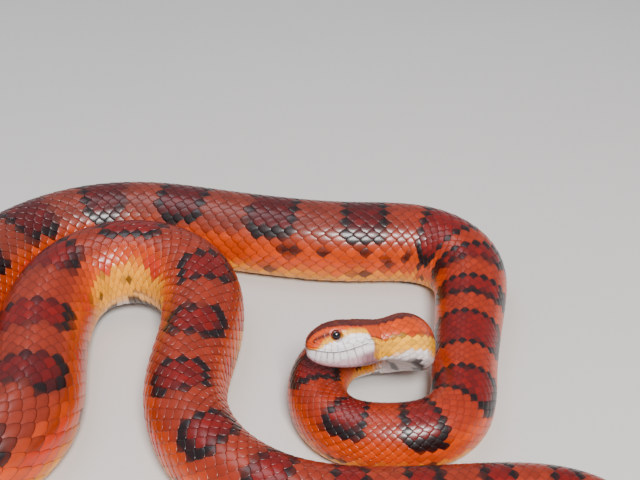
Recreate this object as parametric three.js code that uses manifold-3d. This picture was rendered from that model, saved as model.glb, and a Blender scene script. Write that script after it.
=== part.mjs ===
// A corn snake at rest, life size: head turned left above its own coils, body laid in
// loops on a flat floor. Millimetres, +Z up, origin on the floor under the middle.
import * as THREE from 'three';
import { mergeVertices } from 'three/addons/utils/BufferGeometryUtils.js';
import Module from 'manifold-3d';

const wasm = await Module();
wasm.setup();

// Driving dimensions
const GAP = 0.3;
const MIDDLE_X = -36;
const MIDDLE_Y = -98;
const SIDES = 20;
const BELLY_FLAT = 0.43;
const BELLY_DEPTH = 0.45;
const BELLY_CORNER = 3;
const HEAD_JOINT = 9;
const VENT = 1046;
const SCUTE_EDGE = 128;
const SCUTE_STEP = 0.45;
const SCUTE_LIP = 1;
const SCUTE_SLOPE = 0.45;
const SCUTE_PER_WIDTH = 0.42;
const SCUTE_SHORTEST = 9;
const FOLD_END = 58;
const FOLD_STEP = 4;
const TAIL_STEP = 7;
const ROUTE_SAMPLES = 4000;
const degrees = Math.PI / 180;

// The route of the backbone from the head to the tail tip. Each row holds x and y, the
// clearance under the belly, the bank (left side up), the roll of the skin over the flesh,
// and the body's width and height there.
const ROUTE = [
  // Raised neck, turning away and down under the head
  [12, -114.8, 26, 20, 0, 15.5, 14],
  [21, -113, 26, 24, 0, 15.5, 14.5],
  [31.1, -110.3, 22.4, 36, 0, 19.5, 19.5],
  [36, -103, 12, 0, 0, 20.5, 21],
  [32.4, -94.8, 3, -28, 0, 20.5, 21],
  [20.5, -91.4, 0, -28, 0, 21.5, 21],
  // Small loop under the head
  [6.8, -95.2, 0, -22, 0, 22, 21],
  [-1, -105.8, 0, -12, 0, 22.5, 21],
  [-2, -122, 0, -4, 0, 23, 21.5],
  [7, -136, 0, 0, 0, 23.5, 22],
  [23, -139, 0, 0, 0, 24, 22.5],
  [41, -138, 0, 0, 0, 24.5, 23],
  // Right side, running back
  [54, -127, 0, 0, 0, 25, 23.5],
  [56, -108, 0, 0, 0, 25.5, 24],
  [60, -86, 0, 0, 0, 27, 25],
  [65, -62, 0, 0, 0, 30, 27.5],
  [68, -38, 0, 0, 0, 34, 31],
  // Long stretch across the back
  [48, -20, 0, 0, 0, 36.5, 33],
  [14, -23.5, 0, 0, 0, 37, 34],
  [-16, -19, 0, 0, 0, 37, 34],
  [-48, -12, 0, 0, 0, 37, 34],
  [-80, -3, 0, 0, 0, 37, 34],
  // Left side, running forward into a wide turn
  [-112, -6, 0, 0, 0, 37, 34],
  [-138, -24, 0, 0, 0, 37, 34],
  [-151, -50, 0, 0, 0, 37, 34],
  [-154, -78, 0, 0, 0, 37, 34],
  [-161, -104, 0, 0, 0, 37, 34],
  [-169, -132, 0, 0, 0, 37, 34],
  [-152, -161, 0, 0, 0, 37, 34],
  [-121, -160, 0, 0, 0, 37, 34],
  [-104, -136, 0, 0, 0, 37, 34],
  [-110, -108, 0, 0, 0, 37, 34],
  // Arch that leans on the back stretch
  [-114, -80, 1, 0, 8, 37, 34],
  [-109, -51, 3, 0, 22, 37, 34],
  [-80, -38, 4, 0, 28, 36.5, 34],
  [-52, -53, 3, 0, 22, 35.5, 33.5],
  [-47, -80, 1, 0, 10, 34, 32],
  [-51, -104, 0, 0, 0, 32.5, 30.5],
  // Rear of the body along the front, then the tail folded back
  [-52, -128, 0, 0, 0, 31, 29],
  [-38, -154, 0, 0, 0, 29.5, 27.5],
  [-12, -170, 0, 0, 0, 28, 26],
  [18, -171, 0, 0, 0, 26, 24],
  [48, -167, 0, 0, 0, 24, 22],
  [78, -163, 0, 0, 0, 22, 20],
  [100, -170, 0, 0, 0, 19.5, 18],
  [106, -190, 0, 0, 0, 16.5, 15.5],
  [90, -205, 0, 0, 0, 14.5, 14],
  [64, -203, 0, 0, 0, 12.5, 12],
  [38, -199, 0, 0, 0, 10.5, 10],
  [12, -200, 0, 0, 0, 8.5, 8],
  [-14, -203, 0, 0, 0, 6.5, 6.2],
  [-40, -202, 0, 0, 0, 4.6, 4.5],
  [-64, -194, 0, 0, 0, 2.8, 2.8],
  [-84, -181, 0, 0, 0, 1, 1],
];

// Where one named length ends and the next starts, by distance along the backbone
const LENGTHS = [
  ['neck_front', 28],
  ['neck_rear', 52],
  ['trunk_01', 95],
  ['trunk_02', 135],
  ['trunk_03', 175],
  ['trunk_04', 228],
  ['trunk_05', 275],
  ['trunk_06', 340],
  ['trunk_07', 405],
  ['trunk_08', 480],
  ['trunk_09', 555],
  ['trunk_10', 602],
  ['trunk_11', 655],
  ['trunk_12', 705],
  ['trunk_13', 752],
  ['trunk_14', 805],
  ['trunk_15', 870],
  ['trunk_16', 935],
  ['trunk_17', 1000],
  ['trunk_18', VENT],
  ['tail_base', 1085],
  ['tail_middle', 1160],
  ['tail_tip', Infinity],
];

// Head, in its own frame: x forward from the joint, y to the left, z up.
// Each row: x, crown height, brow half width, cheek half width, cheek height,
// lip half width, mouth height, jaw half width, jaw bottom
const HEAD_ROWS = [
  [0, 7.9, 4.6, 7.8, 2.4, 7.3, 0.4, 6.7, -6.8],
  [3, 8.1, 5.3, 8.5, 4.3, 8.4, 2.7, 7.7, -7.5],
  [7, 8.7, 5.6, 8.6, 4.5, 8.8, 2.1, 8, -7.7],
  [11, 9.2, 5.6, 7.9, 4.2, 8.3, 1, 7.5, -7.5],
  [15, 9.5, 5.5, 6.9, 3.9, 7.5, 0.2, 6.7, -7.2],
  [18, 9.1, 5.1, 6.1, 3.7, 6.8, 0.2, 6.1, -6.7],
  [21, 8.2, 4.3, 5.2, 3.5, 6, 0.6, 5.4, -5.8],
  [23.5, 6.8, 3.4, 4.2, 3.2, 5, 1.2, 4.5, -4.7],
  [25.4, 5, 2.4, 3, 3, 3.7, 1.5, 3.2, -3.3],
  [26.3, 3.3, 1.4, 1.8, 2.5, 2.2, 1.6, 1.8, -2.1],
];
const HEAD_STEP = 1.1;
const MOUTH_CORNER = 4.6;
const JAW_TIP_SETBACK = 1;
const EYE_RADIUS = 2.15;
const EYE_CENTRE = [16, 4.75, 5.9];
const NOSTRIL_RADIUS = 0.55;
const NOSTRIL_CENTRE = [23.8, 3.75, 4];

// A smooth curve through a table of rows, one unit of u for each row
function blend(rows, u) {
  const last = rows.length - 1;
  const row = (i) => {
    if (i < 0) return rows[0].map((value, k) => 2 * value - rows[1][k]);
    if (i > last) return rows[last].map((value, k) => 2 * value - rows[last - 1][k]);
    return rows[i];
  };
  const i = Math.min(Math.floor(u), last - 1);
  const t = u - i;
  const weights = [
    (1 - t) ** 3 / 6,
    (3 * t ** 3 - 6 * t ** 2 + 4) / 6,
    (-3 * t ** 3 + 3 * t ** 2 + 3 * t + 1) / 6,
    t ** 3 / 6,
  ];
  const near = [row(i - 1), row(i), row(i + 1), row(i + 2)];
  return rows[0].map((_, k) => near.reduce((sum, r, n) => sum + weights[n] * r[k], 0));
}

// One point of a body section, at an angle from the top: a rounded back over a flat belly
function sectionPoint(width, height, angle) {
  const side = Math.abs(Math.sin(angle)) / (width / 2);
  const rise = Math.cos(angle);
  let reach;
  if (rise >= 0) {
    reach = 1 / Math.hypot(side, rise / (height * (1 - BELLY_DEPTH)));
  } else {
    const depth = -rise / (height * BELLY_DEPTH);
    reach = (side ** BELLY_CORNER + depth ** BELLY_CORNER) ** (-1 / BELLY_CORNER);
  }
  const up = Math.max(reach * rise, -height * BELLY_FLAT);
  return [reach * Math.sin(angle), up];
}

// How far a banked section reaches below its centre
function sectionDrop(width, height, bank) {
  let lowest = 0;
  for (let i = 0; i < 48; i += 1) {
    const [side, up] = sectionPoint(width, height, (i / 48) * 2 * Math.PI);
    lowest = Math.min(lowest, up * Math.cos(bank) + side * Math.sin(bank));
  }
  return -lowest;
}

// The backbone as a curve, measured by its own length
class Backbone extends THREE.Curve {
  constructor() {
    super();
    this.arcLengthDivisions = ROUTE_SAMPLES;
  }

  row(t) {
    return blend(ROUTE, t * (ROUTE.length - 1));
  }

  getPoint(t, target = new THREE.Vector3()) {
    const [x, y, lift, bank, , width, height] = this.row(t);
    const drop = sectionDrop(width, height, bank * degrees);
    return target.set(x - MIDDLE_X, y - MIDDLE_Y, lift + drop);
  }

  station(distance) {
    const t = this.getUtoTmapping(distance / this.getLength());
    const [, , , bank, roll, width, height] = this.row(t);
    const centre = this.getPoint(t);
    const tailward = this.getTangent(t);
    const up = new THREE.Vector3(0, 0, 1);
    up.addScaledVector(tailward, -up.dot(tailward)).normalize();
    const left = new THREE.Vector3().crossVectors(tailward, up);
    up.applyAxisAngle(tailward, -bank * degrees);
    left.applyAxisAngle(tailward, -bank * degrees);
    return { centre, tailward, up, left, roll, width, height };
  }
}

const backbone = new Backbone();
const bodyLength = backbone.getLength();

// A closed solid from rings of points, each ring capped flat at its middle
function loft(rings) {
  const count = rings[0].length;
  const positions = [];
  const faces = [];
  rings.flat().forEach((point) => positions.push(point.x, point.y, point.z));
  for (let r = 0; r + 1 < rings.length; r += 1) {
    for (let i = 0; i < count; i += 1) {
      const a = r * count + i;
      const b = r * count + ((i + 1) % count);
      faces.push(a, b, a + count, b, b + count, a + count);
    }
  }
  [0, rings.length - 1].forEach((r) => {
    const middle = new THREE.Vector3();
    rings[r].forEach((point) => middle.addScaledVector(point, 1 / count));
    const hub = positions.length / 3;
    positions.push(middle.x, middle.y, middle.z);
    for (let i = 0; i < count; i += 1) {
      const a = r * count + i;
      const b = r * count + ((i + 1) % count);
      faces.push(...(r === 0 ? [hub, b, a] : [hub, a, b]));
    }
  });
  const geometry = new THREE.BufferGeometry();
  geometry.setAttribute('position', new THREE.Float32BufferAttribute(positions, 3));
  geometry.setIndex(faces);
  return geometry;
}

// The ring of the body at one distance; sunk is how deep the belly scutes are cut in there
function bodyRing(distance, sunk) {
  const { centre, up, left, roll, width, height } = backbone.station(distance);
  const ring = [];
  for (let i = 0; i < SIDES; i += 1) {
    const angle = ((i + 0.5) / SIDES) * 2 * Math.PI - Math.PI;
    const [side, rise] = sectionPoint(width, height, angle);
    const label = angle + roll * degrees;
    const onBelly = Math.cos(label) < Math.cos(SCUTE_EDGE * degrees);
    const keep = onBelly ? 1 - sunk / Math.hypot(side, rise) : 1;
    const point = centre.clone();
    point.addScaledVector(left, side * keep);
    point.addScaledVector(up, rise * keep);
    ring.push(point);
  }
  return ring;
}

// Distances of the rings: three to a belly scute on the body, evenly spaced and plain on
// the folded neck and on the tail
function scuteStations() {
  const stations = [];
  let at = HEAD_JOINT;
  while (at < FOLD_END) {
    stations.push({ at, sunk: 0, edge: true });
    at += FOLD_STEP;
  }
  while (at < VENT) {
    const { width } = backbone.station(at);
    const length = Math.max(SCUTE_SHORTEST, SCUTE_PER_WIDTH * width);
    stations.push({ at, sunk: 0, edge: true });
    stations.push({ at: at + SCUTE_LIP, sunk: SCUTE_STEP, edge: false });
    stations.push({ at: at + SCUTE_SLOPE * length, sunk: 0, edge: false });
    at += length;
  }
  while (at < bodyLength - TAIL_STEP / 2) {
    stations.push({ at, sunk: 0, edge: true });
    at += TAIL_STEP;
  }
  stations.push({ at: bodyLength, sunk: 0, edge: true });
  return stations;
}

// Each named length runs from one scute edge to another, with a gap between neighbours
function bodyLengths() {
  const stations = scuteStations();
  const last = stations.length - 1;
  const pieces = [];
  let from = 0;
  LENGTHS.forEach(([name, until]) => {
    let to = from + 1;
    while (to < last && !(stations[to].edge && stations[to].at >= until)) to += 1;
    const rings = [];
    for (let i = from; i <= to; i += 1) {
      let { at } = stations[i];
      if (i === from) at += GAP / 2;
      if (i === to && to < last) at -= GAP / 2;
      rings.push(bodyRing(at, i === from ? 0 : stations[i].sunk));
    }
    pieces.push([name, loft(rings)]);
    from = to;
  });
  return pieces;
}

// The head's frame: x forward along the neck's start, y left, z up
function headFrame() {
  const { centre, tailward, up, left } = backbone.station(HEAD_JOINT);
  const frame = new THREE.Matrix4().makeBasis(tailward.clone().negate(), left, up);
  return frame.setPosition(centre);
}

const headLength = HEAD_ROWS[HEAD_ROWS.length - 1][0];

function headRow(x) {
  let low = 0;
  let high = HEAD_ROWS.length - 1;
  for (let n = 0; n < 30; n += 1) {
    const middle = (low + high) / 2;
    if (blend(HEAD_ROWS, middle)[0] < x) low = middle;
    else high = middle;
  }
  const [, crown, brow, cheek, cheekUp, lip, mouth, jaw, chin] = blend(HEAD_ROWS, low);
  return { crown, brow, cheek, cheekUp, lip, mouth, jaw, chin };
}

// A ring of the left half from top to bottom, mirrored to the right
function mirroredRing(x, half) {
  const right = half.slice(1, -1).reverse().map(([y, z]) => [-y, z]);
  return [...half, ...right].map(([y, z]) => new THREE.Vector3(x, y, z));
}

// Crown, brow, cheek and lip, closed by the roof of the mouth or by the throat
function skullRing(x, open) {
  const { crown, brow, cheek, cheekUp, lip, mouth, jaw, chin } = headRow(x);
  const rise = crown - cheekUp;
  const side = [
    [0, crown],
    [0.55 * brow, crown - 0.03 * rise],
    [0.9 * brow, crown - 0.12 * rise],
    [brow + 0.25 * (cheek - brow), crown - 0.3 * rise],
    [brow + 0.72 * (cheek - brow), crown - 0.62 * rise],
    [cheek, cheekUp],
    [lip, mouth + 1.3],
    [0.97 * lip, mouth + 0.45],
  ];
  const roof = [
    [0.93 * lip, mouth],
    [0.6 * lip, mouth],
    [0.3 * lip, mouth],
    [0, mouth],
  ];
  const throat = [
    [jaw, 0.5 * (mouth + chin)],
    [0.8 * jaw, chin + 0.18 * (mouth - chin)],
    [0.45 * jaw, chin],
    [0, chin],
  ];
  return mirroredRing(x, [...side, ...(open ? roof : throat)]);
}

function jawRing(x) {
  const { lip, mouth, jaw, chin } = headRow(x);
  const top = mouth - GAP;
  return mirroredRing(x, [
    [0, top],
    [0.5 * lip, top],
    [0.9 * lip, top],
    [0.95 * lip, top - 0.5],
    [jaw, 0.6 * top + 0.4 * chin],
    [0.8 * jaw, chin + 0.18 * (top - chin)],
    [0.45 * jaw, chin],
    [0, chin],
  ]);
}

function spaced(from, to, step) {
  const count = Math.ceil((to - from) / step);
  return Array.from({ length: count + 1 }, (_, i) => from + ((to - from) * i) / count);
}

function toSolid(geometry) {
  const bare = geometry.clone();
  bare.deleteAttribute('normal');
  bare.deleteAttribute('uv');
  const merged = mergeVertices(bare, 1e-4);
  const vertProperties = new Float32Array(merged.attributes.position.array);
  const triVerts = new Uint32Array(merged.index.array);
  return new wasm.Manifold(new wasm.Mesh({ numProp: 3, vertProperties, triVerts }));
}

function toGeometry(solid) {
  const { vertProperties, triVerts } = solid.getMesh();
  const geometry = new THREE.BufferGeometry();
  geometry.setAttribute('position', new THREE.BufferAttribute(vertProperties, 3));
  geometry.setIndex(new THREE.BufferAttribute(triVerts, 1));
  return geometry;
}

function ball(radius, [x, y, z], sides) {
  const sphere = new THREE.SphereGeometry(radius, sides, sides / 2);
  return toSolid(sphere.translate(x, y, z));
}

const mirrored = ([x, y, z]) => [x, -y, z];

// Head with its upper lip: sockets for the eyes and nostrils are cut in
function headGeometry() {
  const behind = spaced(GAP / 2, MOUTH_CORNER, HEAD_STEP).map((x) => skullRing(x, false));
  const ahead = spaced(MOUTH_CORNER + 0.02, headLength, HEAD_STEP).map((x) => skullRing(x, true));
  let solid = toSolid(loft([...ahead.reverse(), ...behind.reverse()]));
  [EYE_CENTRE, mirrored(EYE_CENTRE)].forEach((centre) => {
    solid = solid.subtract(ball(EYE_RADIUS + GAP, centre, 20));
  });
  [NOSTRIL_CENTRE, mirrored(NOSTRIL_CENTRE)].forEach((centre) => {
    solid = solid.subtract(ball(NOSTRIL_RADIUS, centre, 10));
  });
  return toGeometry(solid);
}

function jawGeometry() {
  const tip = headLength - JAW_TIP_SETBACK;
  const rings = spaced(MOUTH_CORNER + GAP, tip, HEAD_STEP).map((x) => jawRing(x));
  return loft(rings.reverse());
}

function eyeGeometry(centre) {
  const [x, y, z] = centre;
  return new THREE.SphereGeometry(EYE_RADIUS, 20, 12).translate(x, y, z);
}

// Colours and surfaces of the animal
const skin = { color: 0xc4541f, roughness: 0.4, metalness: 0 };
const crownSkin = { color: 0xa8481f, roughness: 0.35, metalness: 0 };
const chinSkin = { color: 0xe6dcd8, roughness: 0.45, metalness: 0 };
const eyeSurface = { color: 0x1a1216, roughness: 0.08, metalness: 0 };

const snake = new THREE.Group();

function add(name, geometry, look, parent) {
  const mesh = new THREE.Mesh(geometry, new THREE.MeshStandardMaterial(look));
  mesh.name = name;
  parent.add(mesh);
}

const headGroup = new THREE.Group();
headGroup.applyMatrix4(headFrame());
add('head', headGeometry(), crownSkin, headGroup);
add('lower_jaw', jawGeometry(), chinSkin, headGroup);
add('eye_left', eyeGeometry(EYE_CENTRE), eyeSurface, headGroup);
add('eye_right', eyeGeometry(mirrored(EYE_CENTRE)), eyeSurface, headGroup);
snake.add(headGroup);
bodyLengths().forEach(([name, geometry]) => add(name, geometry, skin, snake));

export default snake;
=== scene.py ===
"""A life-size corn snake lying in loops on a pale floor: one skin, scales, scutes and eyes."""

import math

import bpy
import numpy as np
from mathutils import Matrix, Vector


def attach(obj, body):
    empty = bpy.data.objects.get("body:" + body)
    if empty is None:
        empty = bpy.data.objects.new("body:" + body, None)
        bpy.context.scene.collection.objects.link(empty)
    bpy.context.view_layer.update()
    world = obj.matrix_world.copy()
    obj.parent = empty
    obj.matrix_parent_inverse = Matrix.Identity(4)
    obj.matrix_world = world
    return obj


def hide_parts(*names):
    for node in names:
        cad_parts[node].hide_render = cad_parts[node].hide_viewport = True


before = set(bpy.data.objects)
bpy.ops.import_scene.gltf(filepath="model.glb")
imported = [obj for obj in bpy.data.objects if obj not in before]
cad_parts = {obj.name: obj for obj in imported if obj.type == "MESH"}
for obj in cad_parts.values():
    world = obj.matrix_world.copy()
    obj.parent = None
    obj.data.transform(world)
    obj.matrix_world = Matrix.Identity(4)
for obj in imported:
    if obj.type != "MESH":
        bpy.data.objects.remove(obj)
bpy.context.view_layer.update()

# Sizes are in millimetres until a mesh is made
MM = 0.001
MIDDLE = np.array([-36.0, -98.0, 0.0])

# Body section: the flat and the lower part as shares of the height, and the belly's squareness
BELLY_FLAT = 0.43
BELLY_DEPTH = 0.45
BELLY_CORNER = 3

# Distances along the route, and the degrees from the mid-back where the belly scutes begin
HEAD_JOINT = 9.0
JOINT_BLEND = 10
VENT = 1046.0
SCUTE_EDGE = 128.0

# Route of the backbone: x, y, clearance under the belly, bank, roll of the skin, width, height
# A row of four lies level: x, y, width, height
ROUTE = [
    # Raised neck, turning away and down under the head
    (12, -114.8, 26, 20, 0, 15.5, 14), (21, -113, 26, 24, 0, 15.5, 14.5),
    (31.1, -110.3, 22.4, 36, 0, 19.5, 19.5), (36, -103, 12, 0, 0, 20.5, 21),
    (32.4, -94.8, 3, -28, 0, 20.5, 21), (20.5, -91.4, 0, -28, 0, 21.5, 21),
    # Small loop under the head
    (6.8, -95.2, 0, -22, 0, 22, 21), (-1, -105.8, 0, -12, 0, 22.5, 21),
    (-2, -122, 0, -4, 0, 23, 21.5), (7, -136, 23.5, 22), (23, -139, 24, 22.5),
    (41, -138, 24.5, 23),
    # Right side, running back
    (54, -127, 25, 23.5), (56, -108, 25.5, 24), (60, -86, 27, 25), (65, -62, 30, 27.5),
    (68, -38, 34, 31),
    # Long stretch across the back
    (48, -20, 36.5, 33), (14, -23.5, 37, 34), (-16, -19, 37, 34), (-48, -12, 37, 34),
    (-80, -3, 37, 34),
    # Left side, running forward into a wide turn
    (-112, -6, 37, 34), (-138, -24, 37, 34), (-151, -50, 37, 34), (-154, -78, 37, 34),
    (-161, -104, 37, 34), (-169, -132, 37, 34), (-152, -161, 37, 34), (-121, -160, 37, 34),
    (-104, -136, 37, 34), (-110, -108, 37, 34),
    # Arch that leans on the back stretch
    (-114, -80, 1, 0, 8, 37, 34), (-109, -51, 3, 0, 22, 37, 34), (-80, -38, 4, 0, 28, 36.5, 34),
    (-52, -53, 3, 0, 22, 35.5, 33.5), (-47, -80, 1, 0, 10, 34, 32), (-51, -104, 32.5, 30.5),
    # Rear of the body along the front, then the tail folded back
    (-52, -128, 31, 29), (-38, -154, 29.5, 27.5), (-12, -170, 28, 26), (18, -171, 26, 24),
    (48, -167, 24, 22), (78, -163, 22, 20), (100, -170, 19.5, 18), (106, -190, 16.5, 15.5),
    (90, -205, 14.5, 14), (64, -203, 12.5, 12), (38, -199, 10.5, 10), (12, -200, 8.5, 8),
    (-14, -203, 6.5, 6.2), (-40, -202, 4.6, 4.5), (-64, -194, 2.8, 2.8), (-84, -181, 1, 1),
]

# Head: x, crown, brow half, cheek half, cheek height, lip half, mouth height, jaw half, jaw bottom
HEAD_ROWS = [
    (0, 7.9, 4.6, 7.8, 2.4, 7.3, 0.4, 6.7, -6.8),
    (3, 8.1, 5.3, 8.5, 4.3, 8.4, 2.7, 7.7, -7.5),
    (7, 8.7, 5.6, 8.6, 4.5, 8.8, 2.1, 8, -7.7),
    (11, 9.2, 5.6, 7.9, 4.2, 8.3, 1, 7.5, -7.5),
    (15, 9.5, 5.5, 6.9, 3.9, 7.5, 0.2, 6.7, -7.2),
    (18, 9.1, 5.1, 6.1, 3.7, 6.8, 0.2, 6.1, -6.7),
    (21, 8.2, 4.3, 5.2, 3.5, 6, 0.6, 5.4, -5.8),
    (23.5, 6.8, 3.4, 4.2, 3.2, 5, 1.2, 4.5, -4.7),
    (25.4, 5, 2.4, 3, 3, 3.7, 1.5, 3.2, -3.3),
    (26.3, 3.3, 1.4, 1.8, 2.5, 2.2, 1.6, 1.8, -2.1),
]
EYE_RADIUS = 2.15
EYE_CENTRE = np.array([16.0, 4.75, 5.9])
NOSTRIL_X = 23.8
NOSTRIL_HEIGHT = 4.0
MOUTH_CORNER = 4.6

# Scales: length as a share of the body's width in front, further back, and where it changes
SCALE_PER_WIDTH_FRONT = 0.132
SCALE_PER_WIDTH = 0.156
SCALE_SHARE_CHANGE = (180, 330)
SCALE_LEAST_WIDTH = 15.0
COAT_PIECES = 5

# Depth of the skin under the outer surface, as a share of a scale's length and of the width
SKIN_DEPTH = 0.09
SKIN_DEPTH_LIMIT = 0.16

# Rows of scales round the body, by distance
ROW_COUNTS = [
    (9, 25), (120, 29), (300, 29), (420, 27), (760, 27), (1046, 19), (1110, 15), (1190, 9),
    (1260, 7),
]

# Saddles across the back, each from one distance to another, as they show in the pose
SADDLES = [
    (58, 70), (82, 95), (108, 121), (134, 147), (159, 173), (185, 204), (215, 226), (236, 246),
    (253, 273), (291, 310), (330, 351), (373, 395), (413, 433), (450, 470), (487, 506),
    (523, 542), (559, 577), (594, 611), (627, 643), (660, 676), (693, 709), (727, 744),
    (757, 781), (802, 819), (833, 848), (863, 878), (892, 906), (920, 933), (947, 959),
    (972, 984), (997, 1008), (1021, 1031), (1043, 1053), (1065, 1074), (1086, 1094),
    (1106, 1113), (1125, 1132), (1144, 1150), (1162, 1167), (1179, 1184), (1196, 1200),
    (1211, 1215), (1226, 1229), (1240, 1243),
]
SADDLE_REACH = 56
SADDLE_ROUNDNESS = 5
BLOTCH_LEAST = 2.2
OUTSIDE = -9.0
NECK_STRIPES = (44, 56)

# Dark marks on the right flank: distance, degrees from the mid-back, half length, half height
FLANK_MARKS = [
    (331, -72, 4.5, 9), (318, -75, 4.5, 5), (302, -68, 3, 6), (291, -88, 2.5, 10),
    (346, -58, 3, 4), (279, -76, 2.5, 8), (268, -90, 2, 9),
]

# Stretches of the route, each as a ramp in and a ramp out
WIDE_SADDLES = ((120, 160), (262, 285))
DULL_SADDLES = ((262, 292), (640, 700))
BRIGHT_FLANKS = ((715, 735), (830, 850))


def srgb(red, green, blue):
    """A colour as seen on screen, 0 to 255, as the linear numbers a shader takes."""
    c = np.array([red, green, blue]) / 255
    return np.where(c <= 0.04045, c / 12.92, ((c + 0.055) / 1.055) ** 2.4)


# Colours of the animal, and painted shade for the chin and under the jaw
SADDLE_RED = srgb(116, 12, 6)
SADDLE_MAROON = srgb(70, 14, 16)
BORDER_BLACK = srgb(26, 12, 14)
GROUND_BROWN = srgb(116, 42, 28)
GROUND_ORANGE = srgb(146, 38, 8)
FLANK_ORANGE = srgb(198, 66, 4)
LOW_YELLOW = srgb(250, 172, 22)
BELLY_WHITE = srgb(246, 236, 232)
BLOTCH_RED = srgb(188, 48, 18)
CROWN_BROWN = srgb(108, 36, 20)
SNOUT_ORANGE = srgb(214, 74, 6)
LABIAL_WHITE = srgb(248, 238, 240)
SEAM_GREY = srgb(96, 84, 88)
# Painted shade on the chin: the white underside of the jaw darkened to mauve
CHIN_SHADE_MAUVE = srgb(222, 180, 188)
# Painted shadow under the jaw and in the fold behind it
JAW_SHADE_BROWN = srgb(110, 54, 56)
LIP_YELLOW = srgb(250, 176, 20)
PUPIL = srgb(8, 7, 14)
IRIS_INSIDE = srgb(128, 44, 18)
IRIS_OUTSIDE = srgb(52, 16, 8)


def smoothstep(low, high, value):
    """0 below low, 1 above high and a smooth ramp between them."""
    t = np.clip((value - low) / (high - low), 0, 1)
    return t * t * (3 - 2 * t)


def within(stretch, value):
    """1 inside a stretch given by its two ramps, and 0 outside."""
    ramp_in, ramp_out = stretch
    return smoothstep(*ramp_in, value) * (1 - smoothstep(*ramp_out, value))


def mix(first, second, amount):
    """Two colours blended: amount 0 is all first, 1 all second."""
    amount = np.asarray(amount)[..., None]
    return first * (1 - amount) + second * amount


def paint(colour, *layers):
    """Colours laid over a first one, each by its amount."""
    for over, amount in layers:
        colour = mix(colour, over, amount)
    return colour


def blend_rows(rows, u):
    """A smooth curve through a table of rows, one unit of u for each row."""
    rows = np.asarray(rows, float)
    padded = np.vstack([2 * rows[0] - rows[1], rows, 2 * rows[-1] - rows[-2]])
    i = np.clip(np.asarray(u).astype(int), 0, len(rows) - 2)
    t = (u - i)[..., None]
    total = (1 - t) ** 3 * padded[i]
    total = total + (3 * t**3 - 6 * t**2 + 4) * padded[i + 1]
    total = total + (-3 * t**3 + 3 * t**2 + 3 * t + 1) * padded[i + 2]
    return (total + t**3 * padded[i + 3]) / 6


def section(width, height, angle):
    """Side and rise of a body section at an angle from the top: round back, flat belly."""
    side = np.abs(np.sin(angle)) / (width / 2)
    rise = np.cos(angle)
    back = 1 / np.hypot(side, rise / (height * (1 - BELLY_DEPTH)))
    depth = np.abs(rise) / (height * BELLY_DEPTH)
    belly = (side**BELLY_CORNER + depth**BELLY_CORNER) ** (-1 / BELLY_CORNER)
    reach = np.where(rise >= 0, back, belly)
    return reach * np.sin(angle), np.maximum(reach * rise, -height * BELLY_FLAT)


class Backbone:
    """The route as dense tables by distance, with the frame of the body at each."""

    SAMPLES = 9000
    ROUND_SAMPLES = 48

    def __init__(self):
        u = np.linspace(0, len(ROUTE) - 1, self.SAMPLES)
        route = [row if len(row) > 4 else (*row[:2], 0, 0, 0, *row[2:]) for row in ROUTE]
        rows = blend_rows(route, u)
        x, y, lift, bank, roll, width, height = rows.T
        bank = np.radians(bank)[:, None]
        round_angles = np.linspace(0, 2 * np.pi, self.ROUND_SAMPLES, endpoint=False)[None]
        side, rise = section(width[:, None], height[:, None], round_angles)
        lowest = (rise * np.cos(bank) + side * np.sin(bank)).min(1)
        self.centre = np.stack([x, y, lift - lowest], -1) - MIDDLE
        steps = np.linalg.norm(np.diff(self.centre, axis=0), axis=1)
        self.distance = np.concatenate([[0], np.cumsum(steps)])
        tailward = np.gradient(self.centre, axis=0)
        self.tailward = tailward / np.linalg.norm(tailward, axis=1)[:, None]
        up = np.array([0, 0, 1.0]) - self.tailward[:, 2:] * self.tailward
        up = up / np.linalg.norm(up, axis=1)[:, None]
        left = np.cross(self.tailward, up)
        self.up = up * np.cos(bank) - left * np.sin(bank)
        self.left = left * np.cos(bank) + up * np.sin(bank)
        self.roll = roll
        self.width = width
        self.height = height
        self.length = self.distance[-1]

    def read(self, name, distance):
        """One of the tables at any distance."""
        values = getattr(self, name)
        if values.ndim == 1:
            return np.interp(distance, self.distance, values)
        columns = [np.interp(distance, self.distance, values[:, i]) for i in range(3)]
        return np.stack(columns, -1)


backbone = Backbone()


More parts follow.
